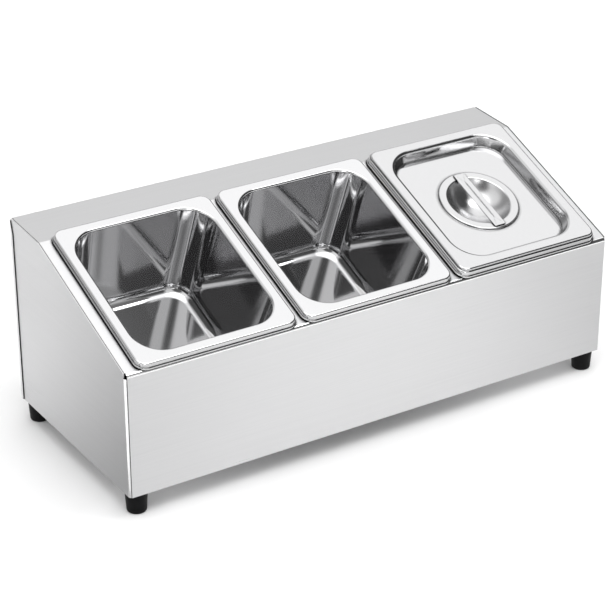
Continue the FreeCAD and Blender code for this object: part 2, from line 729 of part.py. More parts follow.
def make_lid():
    """A pressed lid. Its flange rests on the pan's rim by a short lip, and its sunken panel rises to a
    ring round the bowl that fingers reach into."""
    body = new_body("lid")
    under = f"{LID_TOP} - lid_sheet"
    panel_under = f"{LID_PANEL} - lid_sheet"
    sketch = new_sketch(body, "XY_Plane", under)
    draw_path(sketch, rounded_rectangle(LID_WIDTH, LID_LENGTH, "lid_corner"))
    add_pad(body, sketch, "lid_sheet")
    sketch = new_sketch(body, "XY_Plane", "rim_height")
    draw_path(sketch, rounded_rectangle(LID_WIDTH, LID_LENGTH, "lid_corner"))
    draw_path(sketch, rounded_rectangle(
        f"{LID_WIDTH} - 2 * lid_sheet", f"{LID_LENGTH} - 2 * lid_sheet", "lid_corner - lid_sheet",
    ))
    add_pad(body, sketch, "lid_lip - lid_sheet")
    for kind, wall in (("Additive", "lid_sheet"), ("Subtractive", "0")):
        opening = new_sketch(body, "XY_Plane", LID_TOP)
        draw_path(opening, rounded_rectangle(
            f"{RECESS_WIDTH} + 2 * {wall}", f"{RECESS_LENGTH} + 2 * {wall}", f"recess_corner + {wall}",
        ))
        panel = new_sketch(body, "XY_Plane", f"{LID_PANEL} - {wall}")
        draw_path(panel, rounded_rectangle(
            f"{RECESS_WIDTH} + 2 * ({wall} - recess_draft)",
            f"{RECESS_LENGTH} + 2 * ({wall} - recess_draft)",
            f"recess_corner - recess_draft + {wall}",
        ))
        add_loft(body, kind, opening, panel)
    sketch = new_sketch(body, "XY_Plane", LID_PANEL)
    draw_circle(sketch, ("0", "0"), "ring_radius - lid_sheet / 2")
    cut_through(body, sketch, "4 * lid_sheet")
    ball = "(bowl_radius ^ 2 + bowl_depth ^ 2) / (2 * bowl_depth)"
    outer_ball = f"({ball} + lid_sheet)"
    bowl_under = f"sqrt({outer_ball} ^ 2 - ({outer_ball} - bowl_depth) ^ 2)"
    sketch = new_sketch(body, "XZ_Plane")
    draw_path(sketch, [
        ("ring_radius", panel_under),
        ("ring_radius", RING_TOP),
        ("bowl_radius", RING_TOP, ball, -1),
        ("0", f"{RING_TOP} - bowl_depth"),
        ("0", f"{RING_TOP} - bowl_depth - lid_sheet", outer_ball, 1),
        (bowl_under, f"{RING_TOP} - lid_sheet"),
        ("ring_radius - lid_sheet", f"{RING_TOP} - lid_sheet"),
        ("ring_radius - lid_sheet", panel_under),
    ])
    add_revolution(body, sketch)
    half_width = measure(f"({LID_WIDTH} + {RECESS_WIDTH}) / 4")
    half_length = measure(f"({LID_LENGTH} + {RECESS_LENGTH}) / 4")
    ring_outside = measure("ring_radius + recess_edge")
    ring_middle = measure("(ring_radius + bowl_radius) / 2")

    def outer(middle):
        return abs(middle.x) > half_width or abs(middle.y) > half_length

    def far(middle):
        return math.hypot(middle.x, middle.y)

    rounds = (
        ("lid_edge", lambda middle: near(middle.z, LID_TOP) and outer(middle)),
        ("lid_edge - lid_sheet", lambda middle: near(middle.z, under) and outer(middle)),
        ("recess_edge", lambda middle: near(middle.z, LID_TOP) and not outer(middle)),
        ("recess_edge - lid_sheet", lambda middle: near(middle.z, under) and not outer(middle)),
        ("recess_edge - lid_sheet", lambda middle: near(middle.z, LID_PANEL) and far(middle) > ring_outside),
        ("recess_edge", lambda middle: near(middle.z, panel_under) and far(middle) > ring_outside),
        ("ring_edge", lambda middle: near(middle.z, RING_TOP) and far(middle) > ring_middle),
        ("bowl_edge", lambda middle: near(middle.z, RING_TOP) and far(middle) < ring_middle),
    )
    for radius, chosen in rounds:
        round_edges(body, radius, chosen)
    put_on_deck(body, f"{PITCH_SHARES['right_pan']} * {PAN_PITCH}", PAN_ALONG)


def make_lid_strap():
    """A flat strap welded by its ends to the ring, across the bowl, with a crease pressed along it."""
    body = new_body("lid_handle_strap")
    sketch = new_sketch(body, "XY_Plane", RING_TOP)
    draw_path(sketch, rounded_rectangle("strap_width", "strap_length", "strap_corner"))
    add_pad(body, sketch, "strap_thickness")
    strap_top = f"{RING_TOP} + strap_thickness"
    round_edges(body, "strap_edge", lambda middle: near(middle.z, strap_top))
    sketch = new_sketch(body, "XY_Plane", strap_top)
    draw_path(sketch, rounded_rectangle("crease_width", "crease_length", "crease_width / 3"))
    cut_through(body, sketch, "2 * crease_depth")
    put_on_deck(body, f"{PITCH_SHARES['right_pan']} * {PAN_PITCH}", PAN_ALONG)


make_top_sheet()
for side in SIDE_SHARES:
    make_side_panel(side)
make_back_panel()
make_base_tray()
for side in SIDE_SHARES:
    make_deck_channel(side)
for corner in foot_places:
    make_foot(corner)
make_foot_fasteners()
make_panel_screws()
for label in PITCH_SHARES:
    make_pan(label)
make_lid()
make_lid_strap()
doc.recompute()

for item in doc.Objects:
    if "Invalid" in item.State or "Error" in item.State:
        raise RuntimeError(f"{item.Label} did not build")
for node in nodes:
    if node.Shape.isNull() or not node.Shape.isValid():
        raise RuntimeError(f"{node.Label} has no sound shape")

os.makedirs("parts", exist_ok=True)
for node in nodes:
    node.Shape.exportStep(f"parts/{node.Label}.step")
    box = node.Shape.BoundBox
    size = f"{box.XLength:.1f} x {box.YLength:.1f} x {box.ZLength:.1f}"
    print(f"{node.Label}: {len(node.Shape.Solids)} solid(s), {size} mm, {node.Shape.Volume:.0f} mm3")
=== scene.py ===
import bmesh
import bpy
import math
import mathutils
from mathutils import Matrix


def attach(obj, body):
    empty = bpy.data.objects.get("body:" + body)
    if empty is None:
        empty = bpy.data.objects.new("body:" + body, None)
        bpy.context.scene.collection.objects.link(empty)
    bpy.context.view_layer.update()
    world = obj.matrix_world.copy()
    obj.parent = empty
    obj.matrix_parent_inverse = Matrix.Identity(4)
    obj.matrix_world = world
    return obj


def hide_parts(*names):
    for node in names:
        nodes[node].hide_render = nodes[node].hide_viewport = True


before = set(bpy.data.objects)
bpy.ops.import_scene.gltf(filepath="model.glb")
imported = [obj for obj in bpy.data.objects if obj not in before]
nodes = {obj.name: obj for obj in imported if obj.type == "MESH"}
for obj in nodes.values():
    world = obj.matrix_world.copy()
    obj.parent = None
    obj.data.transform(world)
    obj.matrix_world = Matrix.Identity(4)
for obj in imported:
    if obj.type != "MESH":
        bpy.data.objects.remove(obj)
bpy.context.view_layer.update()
bpy.ops.object.select_all(action="DESELECT")

# Base tray
# A shallow tray of thin stainless sheet that closes the bottom of the housing. Its edges are folded up
# and spot-welded inside the flanges of the walls.
SATIN_TONE = (0.71, 0.71, 0.715, 1.0)
SATIN_SHADE = (0.64, 0.64, 0.647, 1.0)
SATIN_GLOSS = (0.26, 0.36)
GRAIN_ALONG = 6.0
GRAIN_ACROSS = 900.0
GRAIN_DETAIL = 3.0
GRAIN_ROUGHNESS = 0.65
GRAIN_RELIEF = 0.08
GRAIN_HEIGHT = 0.0004
CLOUD_SCALE = 9.0
CLOUD_DETAIL = 2.0
CLOUD_ROUGHNESS = 0.5
GLOSS_SPAN = (0.5, 1.5)
# Painted shade: the colour darkens where ambient occlusion finds other surfaces close by.
SHADE_REACH = 0.003
PAINTED_SHADE_TONE = (0.02, 0.02, 0.021, 1.0)
SHADE_OPEN_SPAN = (0.74, 0.96)
SHADE_SAMPLES = 8
MIX_SHARE = 0
MIX_FIRST = 6
MIX_SECOND = 7
MIX_RESULT = 2


def place_node(tree, kind, inputs=(), **settings):
    """Adds a shader node, with its settings, and sets or links its inputs."""
    node = tree.nodes.new(kind)
    for name, value in settings.items():
        setattr(node, name, value)
    for name, value in dict(inputs).items():
        if isinstance(value, bpy.types.NodeSocket):
            tree.links.new(value, node.inputs[name])
        else:
            node.inputs[name].default_value = value
    return node


def map_span(tree, value, given, wanted=(0.0, 1.0), kind="LINEAR"):
    """Takes a value from one span to another, and returns the outcome."""
    spans = {"From Min": given[0], "From Max": given[1], "To Min": wanted[0], "To Max": wanted[1]}
    node = place_node(tree, "ShaderNodeMapRange", {"Value": value, **spans}, interpolation_type=kind)
    return node.outputs[0]


def mix_colours(tree, share, first, second, **settings):
    """Goes from the first colour to the second by a share, and returns the outcome."""
    colours = {MIX_SHARE: share, MIX_FIRST: first, MIX_SECOND: second}
    node = place_node(tree, "ShaderNodeMix", colours, data_type="RGBA", **settings)
    return node.outputs[MIX_RESULT]


def make_group(name, inputs, outputs):
    """A new group of shader nodes, with what it is given and what it gives."""
    group = bpy.data.node_groups.new(name, "ShaderNodeTree")
    for socket, kind in inputs:
        group.interface.new_socket(socket, in_out="INPUT", socket_type=f"NodeSocket{kind}")
    for socket in outputs:
        group.interface.new_socket(socket, in_out="OUTPUT", socket_type="NodeSocketFloat")
    given = group.nodes.new("NodeGroupInput").outputs
    result = group.nodes.new("NodeGroupOutput").inputs
    return group, given, result


def make_grain_group():
    """Brushed grain for sheet metal: fine lines along the place's X, and slow clouds."""
    inputs = (("Place", "Vector"), ("Along", "Float"), ("Across", "Float"), ("Cloud Scale", "Float"))
    group, given, result = make_group("brushed_grain", inputs, ("Grain", "Cloud"))
    stretch = place_node(
        group, "ShaderNodeCombineXYZ",
        {"X": given["Along"], "Y": given["Across"], "Z": given["Across"]},
    )
    place = place_node(
        group, "ShaderNodeVectorMath", {0: given["Place"], 1: stretch.outputs[0]}, operation="MULTIPLY",
    )
    lines = place_node(
        group, "ShaderNodeTexNoise",
        {"Vector": place.outputs[0], "Scale": 1.0, "Detail": GRAIN_DETAIL, "Roughness": GRAIN_ROUGHNESS},
    )
    clouds = place_node(
        group, "ShaderNodeTexNoise",
        {
            "Vector": given["Place"], "Scale": given["Cloud Scale"],
            "Detail": CLOUD_DETAIL, "Roughness": CLOUD_ROUGHNESS,
        },
    )
    group.links.new(lines.outputs["Fac"], result["Grain"])
    group.links.new(clouds.outputs["Fac"], result["Cloud"])
    return group


def make_painted_shade_group():
    """A mask for painted shade, dark where ambient occlusion finds other surfaces close by: where two sheets
    meet or a fold closes up.
    """
    group, given, result = make_group("painted_shade_line", (("Reach", "Float"),), ("Line",))
    open_share = place_node(
        group, "ShaderNodeAmbientOcclusion", {"Distance": given["Reach"]}, samples=SHADE_SAMPLES,
    )
    line = map_span(group, open_share.outputs["AO"], SHADE_OPEN_SPAN, (1.0, 0.0), "SMOOTHSTEP")
    group.links.new(line, result["Line"])
    return group


grain_group = make_grain_group()
painted_shade_group = make_painted_shade_group()


def start_material(name):
    """A new material and its shader."""
    material = bpy.data.materials.new(name)
    material.use_nodes = True
    return material, material.node_tree.nodes["Principled BSDF"]


def steel(
    name, tone, shade, gloss, turn=(0, 0, 0),
    along=GRAIN_ALONG, across=GRAIN_ACROSS, relief=GRAIN_RELIEF, reach=SHADE_REACH,
):
    """Stainless sheet: gloss is its lowest and highest roughness, turn points the grain."""
    material, shader = start_material(name)
    tree = material.node_tree
    shader.inputs["Metallic"].default_value = 1.0
    place = place_node(tree, "ShaderNodeTexCoord").outputs["Object"]
    turned = place_node(tree, "ShaderNodeMapping", {"Vector": place, "Rotation": turn})
    grain = place_node(
        tree, "ShaderNodeGroup",
        {"Place": turned.outputs[0], "Along": along, "Across": across, "Cloud Scale": CLOUD_SCALE},
        node_tree=grain_group,
    ).outputs
    # Painted shade darkens the colour in joints, folds and other hollows.
    painted_shade = place_node(tree, "ShaderNodeGroup", {"Reach": reach}, node_tree=painted_shade_group).outputs
    plain = mix_colours(tree, grain["Grain"], shade, tone)
    colour = mix_colours(tree, painted_shade["Line"], plain, PAINTED_SHADE_TONE, name="colour")
    mixed = place_node(tree, "ShaderNodeMath", {0: grain["Grain"], 1: grain["Cloud"]}, operation="ADD")
    rough = map_span(tree, mixed.outputs[0], GLOSS_SPAN, gloss)
    bump = place_node(
        tree, "ShaderNodeBump",
        {"Strength": relief, "Distance": GRAIN_HEIGHT, "Height": grain["Grain"]},
    )
    tree.links.new(colour, shader.inputs["Base Color"])
    tree.links.new(rough, shader.inputs["Roughness"])
    tree.links.new(bump.outputs[0], shader.inputs["Normal"])
    return material


def finish_node(name, material):
    """Gives a carried-over piece its finish."""
    nodes[name].data.materials.clear()
    nodes[name].data.materials.append(material)


satin_across = steel("satin_steel_across", SATIN_TONE, SATIN_SHADE, SATIN_GLOSS)
finish_node("base_tray", satin_across)

# Feet
# Four tapered feet of black moulded rubber. Each is bored from below, and a screw with a washer under
# its head goes up through it and the tray into a nut.
MM = 0.001
FOOT_SECTION = (
    (2.8, 11.2), (5.4, 11.2), (5.4, 0.4), (5.7, 0.0), (7.6, 0.0), (8.3, 0.18), (8.85, 0.6), (9.15, 1.15),
    (9.3, 1.8), (9.85, 10.0), (10.5, 20.1), (10.53, 20.6), (10.25, 21.05), (9.6, 21.2), (2.8, 21.2),
)
FOOT_ACROSS = 252.8
FOOT_ALONG = 98.05
ROUND_STEPS = 64
SMOOTH_ANGLE = 40
RUBBER_TONE = (0.004, 0.004, 0.0045, 1.0)
RUBBER_SHINE = 0.12
RUBBER_GLOSS = (0.42, 0.6)
DUST_TONE = (0.09, 0.09, 0.088, 1.0)
DUST_SCALE = 120.0
DUST_DETAIL = 2.0
DUST_SPAN = (0.3, 0.7)
WORN_HEIGHT = 0.0025
WORN_SHARE = 0.55
SPECKLE_SCALE = 900.0
SPECKLE_DETAIL = 3.0
SPECKLE_RELIEF = 0.15
SPECKLE_HEIGHT = 0.0002


def circle_ring(radius, height):
    """Adds a round edge loop to the mesh being edited, in millimetres about the origin."""
    bpy.ops.mesh.primitive_circle_add(vertices=ROUND_STEPS, radius=radius * MM, location=(0, 0, height * MM))


def number_ring(piece, number):
    """Gives the points of the mesh being edited that have no ring number yet this one."""
    mesh = bmesh.from_edit_mesh(piece.data)
    ring = mesh.verts.layers.int["ring"]
    for point in mesh.verts:
        point[ring] = point[ring] or number


def select_rings(piece, *numbers):
    """Selects the points of these rings, and nothing else."""
    bpy.ops.mesh.select_all(action="DESELECT")
    mesh = bmesh.from_edit_mesh(piece.data)
    ring = mesh.verts.layers.int["ring"]
    for point in mesh.verts:
        point.select = point[ring] in numbers
    mesh.select_flush(True)
    bmesh.update_edit_mesh(piece.data)


def stack_rings(name, rings, ending):
    """A skin through edge loops, each bridged to the one before, with a flat fill between square and
    round ones. Each ring is a function and its sizes. The ending is "cap" for a face over the last
    ring, or "close" to join it to the first."""
    bpy.ops.object.select_all(action="DESELECT")
    bpy.ops.mesh.primitive_plane_add(size=MM, location=(0, 0, 0))
    piece = bpy.context.object
    piece.name = name
    piece.data.attributes.new("ring", "INT", "POINT")
    bpy.ops.object.mode_set(mode="EDIT")
    bpy.ops.mesh.select_mode(type="VERT")
    bpy.ops.mesh.select_all(action="SELECT")
    bpy.ops.mesh.delete(type="VERT")
    for number, (add_ring, *sizes) in enumerate(rings, 1):
        bpy.ops.mesh.select_all(action="DESELECT")
        add_ring(*sizes)
        number_ring(piece, number)
        if number > 1:
            select_rings(piece, number - 1, number)
            if add_ring is rings[number - 2][0]:
                bpy.ops.mesh.bridge_edge_loops()
            else:
                bpy.ops.mesh.fill()
    if ending == "close":
        select_rings(piece, 1, len(rings))
        bpy.ops.mesh.bridge_edge_loops()
    else:
        select_rings(piece, len(rings))
        bpy.ops.mesh.edge_face_add()
    bpy.ops.mesh.select_all(action="SELECT")
    bpy.ops.mesh.normals_make_consistent(inside=False)
    bpy.ops.object.mode_set(mode="OBJECT")
    piece.data.attributes.remove(piece.data.attributes["ring"])
    if ending == "cap" and piece.data.polygons[-1].normal.z < 0:
        bpy.ops.object.mode_set(mode="EDIT")
        bpy.ops.mesh.flip_normals()
        bpy.ops.object.mode_set(mode="OBJECT")
    return piece


def choose(piece):
    """Selects one piece and nothing else, and makes it the active one."""
    bpy.ops.object.select_all(action="DESELECT")
    piece.select_set(True)
    bpy.context.view_layer.objects.active = piece


def smooth(piece, angle=SMOOTH_ANGLE):
    """Smooth shading with sharp edges kept, and flat faces kept flat."""
    choose(piece)
    bpy.ops.object.shade_smooth_by_angle(angle=math.radians(angle))
    bpy.ops.object.modifier_add(type="WEIGHTED_NORMAL")
    piece.modifiers[-1].keep_sharp = True
    bpy.ops.object.modifier_apply(modifier=piece.modifiers[-1].name)


def settle(piece, place, turn=(0, 0, 0)):
    """Moves a finished piece to its place, in millimetres, and puts that place into its mesh."""
    choose(piece)
    piece.rotation_euler = turn
    piece.location = [value * MM for value in place]
    bpy.ops.object.transform_apply(location=True, rotation=True, scale=True)


def copy_piece(piece, name):
    """Another piece with its own mesh."""
    choose(piece)
    bpy.ops.object.duplicate(linked=False)
    bpy.context.object.name = name
    return bpy.context.object


def make_rubber():
    """Matt black rubber, a little dusty and rubbed pale near the table."""
    material, shader = start_material("black_rubber")
    tree = material.node_tree
    shader.inputs["Specular IOR Level"].default_value = RUBBER_SHINE
    place = place_node(tree, "ShaderNodeTexCoord").outputs["Object"]
    speckle = place_node(
        tree, "ShaderNodeTexNoise", {"Vector": place, "Scale": SPECKLE_SCALE, "Detail": SPECKLE_DETAIL},
    )
    cloud = place_node(
        tree, "ShaderNodeTexNoise", {"Vector": place, "Scale": DUST_SCALE, "Detail": DUST_DETAIL},
    ).outputs["Fac"]
    height = place_node(tree, "ShaderNodeSeparateXYZ", {"Vector": place}).outputs["Z"]
    worn = map_span(tree, height, (0.0, WORN_HEIGHT), (WORN_SHARE, 0.0))
    dust = place_node(tree, "ShaderNodeMath", {0: worn, 1: cloud}, operation="MULTIPLY")
    colour = mix_colours(tree, dust.outputs[0], RUBBER_TONE, DUST_TONE)
    rough = map_span(tree, cloud, DUST_SPAN, RUBBER_GLOSS)
    bump = place_node(
        tree, "ShaderNodeBump",
        {"Strength": SPECKLE_RELIEF, "Distance": SPECKLE_HEIGHT, "Height": speckle.outputs["Fac"]},
    )
    tree.links.new(colour, shader.inputs["Base Color"])
    tree.links.new(rough, shader.inputs["Roughness"])
    tree.links.new(bump.outputs[0], shader.inputs["Normal"])
    return material


black_rubber = make_rubber()
foot = stack_rings("foot_pattern", [(circle_ring, *ring) for ring in FOOT_SECTION], "close")
smooth(foot)
foot.data.materials.append(black_rubber)
for end, along in (("front", -FOOT_ALONG), ("back", FOOT_ALONG)):
    for side, across in (("left", -FOOT_ACROSS), ("right", FOOT_ACROSS)):
        rubber_foot = copy_piece(foot, f"rubber_foot_{end}_{side}")
        settle(rubber_foot, (across, along, 0))
        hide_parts(f"{end}_{side}_foot")
        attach(rubber_foot, "housing")
bpy.data.objects.remove(foot)

# Foot fasteners
# Pan-head screws, plain washers and hexagon nuts of zinc-plated steel, one of each for every foot. They
# clamp the feet to the tray.
ZINC_TONE = (0.62, 0.63, 0.65, 1.0)
ZINC_SHADE = (0.52, 0.53, 0.55, 1.0)
ZINC_GLOSS = (0.3, 0.45)
ZINC_ACROSS = 400.0
zinc = steel("zinc_plate", ZINC_TONE, ZINC_SHADE, ZINC_GLOSS, across=ZINC_ACROSS)
for name in ("foot_screws", "foot_washers", "foot_nuts"):
    finish_node(name, zinc)

# Side panels
# Left and right walls of satin stainless sheet, brushed along their length. Each has flanges folded in
# behind the front panel and the back panel. The bend at the front has a painted highlight.
SIDE_TONE = (0.62, 0.62, 0.625, 1.0)
SIDE_SHADE = (0.55, 0.55, 0.557, 1.0)
SIDE_CORNER = mathutils.Vector((265.0, -109.45, 0))
SIDE_FACING = mathutils.Vector((1, -1, 0)).normalized()
SIDE_BEND = 2.4
RIGHT_ANGLE = 90
QUARTER_TURN = math.radians(RIGHT_ANGLE)
FRONT_TO_BACK = (0, 0, QUARTER_TURN)
FRONT_FACING = mathutils.Vector((0, -1, 0))
# Painted highlight on the outside of a bend.
BEND_HIGHLIGHT_TONE = (0.97, 0.97, 0.975, 1.0)
BEND_HIGHLIGHT_ROUGHNESS = 0.1
BEND_HIGHLIGHT_SHARE = 0.2


def make_bend_group():
    """A mask for the outside of a bend, where a highlight is painted. The place is measured along the line
    that the bend faces, alike on the left and the right."""
    inputs = (("Place", "Vector"), ("Facing", "Vector"), ("Start", "Float"), ("Full", "Float"))
    group, given, result = make_group("painted_bend_highlight", inputs, ("Bend",))
    parts = place_node(group, "ShaderNodeSeparateXYZ", {"Vector": given["Place"]}).outputs
    outwards = place_node(group, "ShaderNodeMath", {0: parts["X"]}, operation="ABSOLUTE")
    place = place_node(
        group, "ShaderNodeCombineXYZ",
        {"X": outwards.outputs[0], "Y": parts["Y"], "Z": parts["Z"]},
    )
    along = place_node(
        group, "ShaderNodeVectorMath", {0: place.outputs[0], 1: given["Facing"]}, operation="DOT_PRODUCT",
    )
    span = (given["Start"], given["Full"])
    bend = map_span(group, along.outputs["Value"], span, kind="SMOOTHSTEP")
    group.links.new(bend, result["Bend"])
    return group


bend_group = make_bend_group()


def shift_roughness(material, share, roughness):
    """Takes a material's roughness to another one by a share."""
    tree = material.node_tree
    socket = tree.nodes["Principled BSDF"].inputs["Roughness"]
    plain = socket.links[0].from_socket
    shifted = place_node(tree, "ShaderNodeMix", {"Factor": share, "A": plain, "B": roughness})
    tree.links.new(shifted.outputs["Result"], socket)


def paint_bend_highlight(material, corner, facing, radius):
    """Paints a highlight on a bend: a paler colour, with a lower roughness. The corner is where its two faces
    would meet, in millimetres, and the facing is the direction halfway between theirs."""
    half = math.acos(facing.dot(FRONT_FACING))
    tip = corner.dot(facing)
    start = tip - radius * math.tan(half) * math.sin(half)
    top = tip - radius * (1 / math.cos(half) - 1)
    full = start + BEND_HIGHLIGHT_SHARE * (top - start)
    tree = material.node_tree
    place = place_node(tree, "ShaderNodeTexCoord").outputs["Object"]
    bend = place_node(
        tree, "ShaderNodeGroup",
        {"Place": place, "Facing": facing, "Start": start * MM, "Full": full * MM},
        node_tree=bend_group,
    ).outputs["Bend"]
    socket = tree.nodes["colour"].inputs[MIX_FIRST]
    plain = socket.links[0].from_socket
    highlighted = mix_colours(tree, bend, plain, BEND_HIGHLIGHT_TONE)
    tree.links.new(highlighted, socket)
    shift_roughness(material, bend, BEND_HIGHLIGHT_ROUGHNESS)


satin_side = steel("satin_steel_side", SIDE_TONE, SIDE_SHADE, SATIN_GLOSS, FRONT_TO_BACK)
paint_bend_highlight(satin_side, SIDE_CORNER, SIDE_FACING, SIDE_BEND)
for name in ("left_side_panel", "right_side_panel"):
    finish_node(name, satin_side)

# Top sheet
# Front panel, sloping deck and rear ledge, folded from one satin stainless sheet with a cut-out for
# each pan. Flanges along its sides are spot-welded inside the side panels.
DECK_RISE = 63.0
DECK_RUN = 161.8
DECK_SLOPE = math.atan2(DECK_RISE, DECK_RUN)
DECK_FRONT = (-110.25, 143.2)
FRONT_BEND = 4.0
satin_top = satin_across.copy()
satin_top.name = "satin_steel_top"
half_turn = (QUARTER_TURN - DECK_SLOPE) / 2
fold_facing = mathutils.Vector((0, -math.cos(half_turn), math.sin(half_turn)))
# The front fold gets a painted highlight too.
paint_bend_highlight(satin_top, mathutils.Vector((0, *DECK_FRONT)), fold_facing, FRONT_BEND)
finish_node("top_sheet", satin_top)

# Deck channels
# Two folded channels of satin stainless sheet that stiffen the webs of the deck between the pans. They
# are welded on underneath.
for name in ("left_deck_channel", "right_deck_channel"):
    finish_node(name, satin_side)

# Back panel
# A cover of satin stainless sheet at the rear. Its returns lap over the side panels, and small screws
# hold it.
finish_node("back_panel", satin_across)

# Back panel screws
# Ten self-tapping pan-head screws of plain stainless, with a cross recess. Three go into each side
# panel's rear flange, two into the top sheet's and two into the tray.
SCREW_SECTION = (
    (0.25, -7.9), (1.45, -6.0), (1.45, -0.03), (2.9, 0.0), (2.98, 0.12), (2.98, 0.5), (2.85, 1.0),
    (2.5, 1.4), (1.8, 1.68), (0.9, 1.78), (0.3, 1.79),
)
RECESS_ARM = (0.75, 3.3, 1.1)
RECESS_MIDDLE = 1.5
PANEL_REAR = 110.25
SCREW_PLACES = (
    (-257, 47.2), (-257, 107.95), (-257, 168.7), (257, 47.2), (257, 107.95), (257, 168.7),
    (-132.5, 200.85), (132.5, 200.85), (-132.5, 28.7), (132.5, 28.7),
)
SCREW_TURN_STEP = 37
SCREW_SMOOTH_ANGLE = 35
SCREW_TONE = (0.66, 0.66, 0.67, 1.0)
SCREW_SHADE = (0.56, 0.56, 0.57, 1.0)
SCREW_GLOSS = (0.2, 0.32)
SCREW_ACROSS = 400.0


def close_skin(piece):
    """Fills a skin's one open edge loop and points its faces outwards."""
    choose(piece)
    bpy.ops.object.mode_set(mode="EDIT")
    bpy.ops.mesh.select_all(action="DESELECT")
    bpy.ops.mesh.select_non_manifold()
    bpy.ops.mesh.edge_face_add()
    bpy.ops.mesh.select_all(action="SELECT")
    bpy.ops.mesh.normals_make_consistent(inside=False)
    bpy.ops.object.mode_set(mode="OBJECT")


def cut_slot(piece, turn):
    """Cuts one arm of the cross recess into a screw's head."""
    bpy.ops.mesh.primitive_cube_add(size=1, location=(0, 0, RECESS_MIDDLE * MM), rotation=(0, 0, turn))
    cutter = bpy.context.object
    cutter.scale = [value * MM for value in RECESS_ARM]
    bpy.context.view_layer.objects.active = piece
    bpy.ops.object.modifier_add(type="BOOLEAN")
    piece.modifiers[-1].object = cutter
    bpy.ops.object.modifier_apply(modifier=piece.modifiers[-1].name)
    bpy.data.objects.remove(cutter)


screw_steel = steel("screw_steel", SCREW_TONE, SCREW_SHADE, SCREW_GLOSS, across=SCREW_ACROSS)
screw = stack_rings("screw_pattern", [(circle_ring, *ring) for ring in SCREW_SECTION], "cap")
close_skin(screw)
for turn in (0, QUARTER_TURN):
    cut_slot(screw, turn)
smooth(screw, SCREW_SMOOTH_ANGLE)
screw.data.materials.append(screw_steel)
screws = []
for number, (across, up) in enumerate(SCREW_PLACES):
    screws.append(copy_piece(screw, f"panel_screw_{number}"))
    settle(screws[-1], (0, 0, 0), (0, 0, math.radians(number * SCREW_TURN_STEP)))
    settle(screws[-1], (across, PANEL_REAR, up), (-QUARTER_TURN, 0, 0))
bpy.data.objects.remove(screw)
bpy.ops.object.select_all(action="DESELECT")
for piece in screws:
    piece.select_set(True)
bpy.context.view_layer.objects.active = screws[0]
bpy.ops.object.join()
screw_set = bpy.context.object
screw_set.name = "panel_screw_set"
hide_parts("back_panel_screws")
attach(screw_set, "housing")

# Pans
# Three deep-drawn pans of polished stainless sheet. The flat rim of each turns down to a skirt with a
# small hem, which rests on the deck round the cut-out.
CORNER_STEPS = 15
CORNER_PROFILE = 0.5
RIM = (162.0, 176.0, 10.0)
RIM_TOP = 7.0
RIM_BEND = 1.8
RIM_BEND_STEPS = 6
HEM_SECTION = (
    (0.6, 0.0), (0.9, 0.15), (1.0, 0.5), (1.0, 1.4), (0.85, 1.75), (0.4, 2.0), (0.0, 2.3), (0.0, 3.4),
)
MOUTH = (141.0, 155.0, 28.0)
MOUTH_BEND = 2.6
MOUTH_BEND_STEPS = 8
WALL_INSET = 7.0
WALL_CORNER_LOSS = 4.0
WALL_SHARES = (0.25, 0.5, 0.7)
PAN_DEPTH = 100.0
FLOOR_BEND = 12.0
FLOOR_BEND_STEPS = 10
PAN_SHEET = 0.8
PAN_PITCH = 170.5
PAN_ALONG = 88.9
PANS = {"left_pan": -PAN_PITCH, "middle_pan": 0.0, "right_pan": PAN_PITCH}
POLISH_TONE = (0.63, 0.63, 0.635, 1.0)
POLISH_SHADE = (0.615, 0.615, 0.621, 1.0)
POLISH_GLOSS = (0.06, 0.08)
POLISH_ALONG = 14.0
POLISH_ACROSS = 420.0
POLISH_RELIEF = 0.0015


def rounded_ring(width, length, corner, height):
    """Adds a rectangular edge loop with round corners to the mesh being edited, in millimetres."""
    middle = (0, 0, height * MM)
    bpy.ops.mesh.primitive_plane_add(size=1, location=middle)
    bpy.ops.transform.resize(value=(width * MM, length * MM, 1), center_override=middle)
    bpy.ops.mesh.bevel(offset=corner * MM, segments=CORNER_STEPS, affect="VERTICES", profile=CORNER_PROFILE)
    bpy.ops.mesh.delete(type="ONLY_FACE")


def inset_ring(outline, inset, height, corner_loss=None):
    """A ring inside an outline; its corner tightens by the inset unless a loss is given."""
    width, length, corner = outline
    loss = inset if corner_loss is None else corner_loss
    return (rounded_ring, width - 2 * inset, length - 2 * inset, corner - loss, height)


def turns(start, end, steps):
    """Evenly spaced angles in degrees, as sines and cosines."""
    angles = [math.radians(start + (end - start) * step / steps) for step in range(steps + 1)]
    return [(math.sin(angle), math.cos(angle)) for angle in angles]


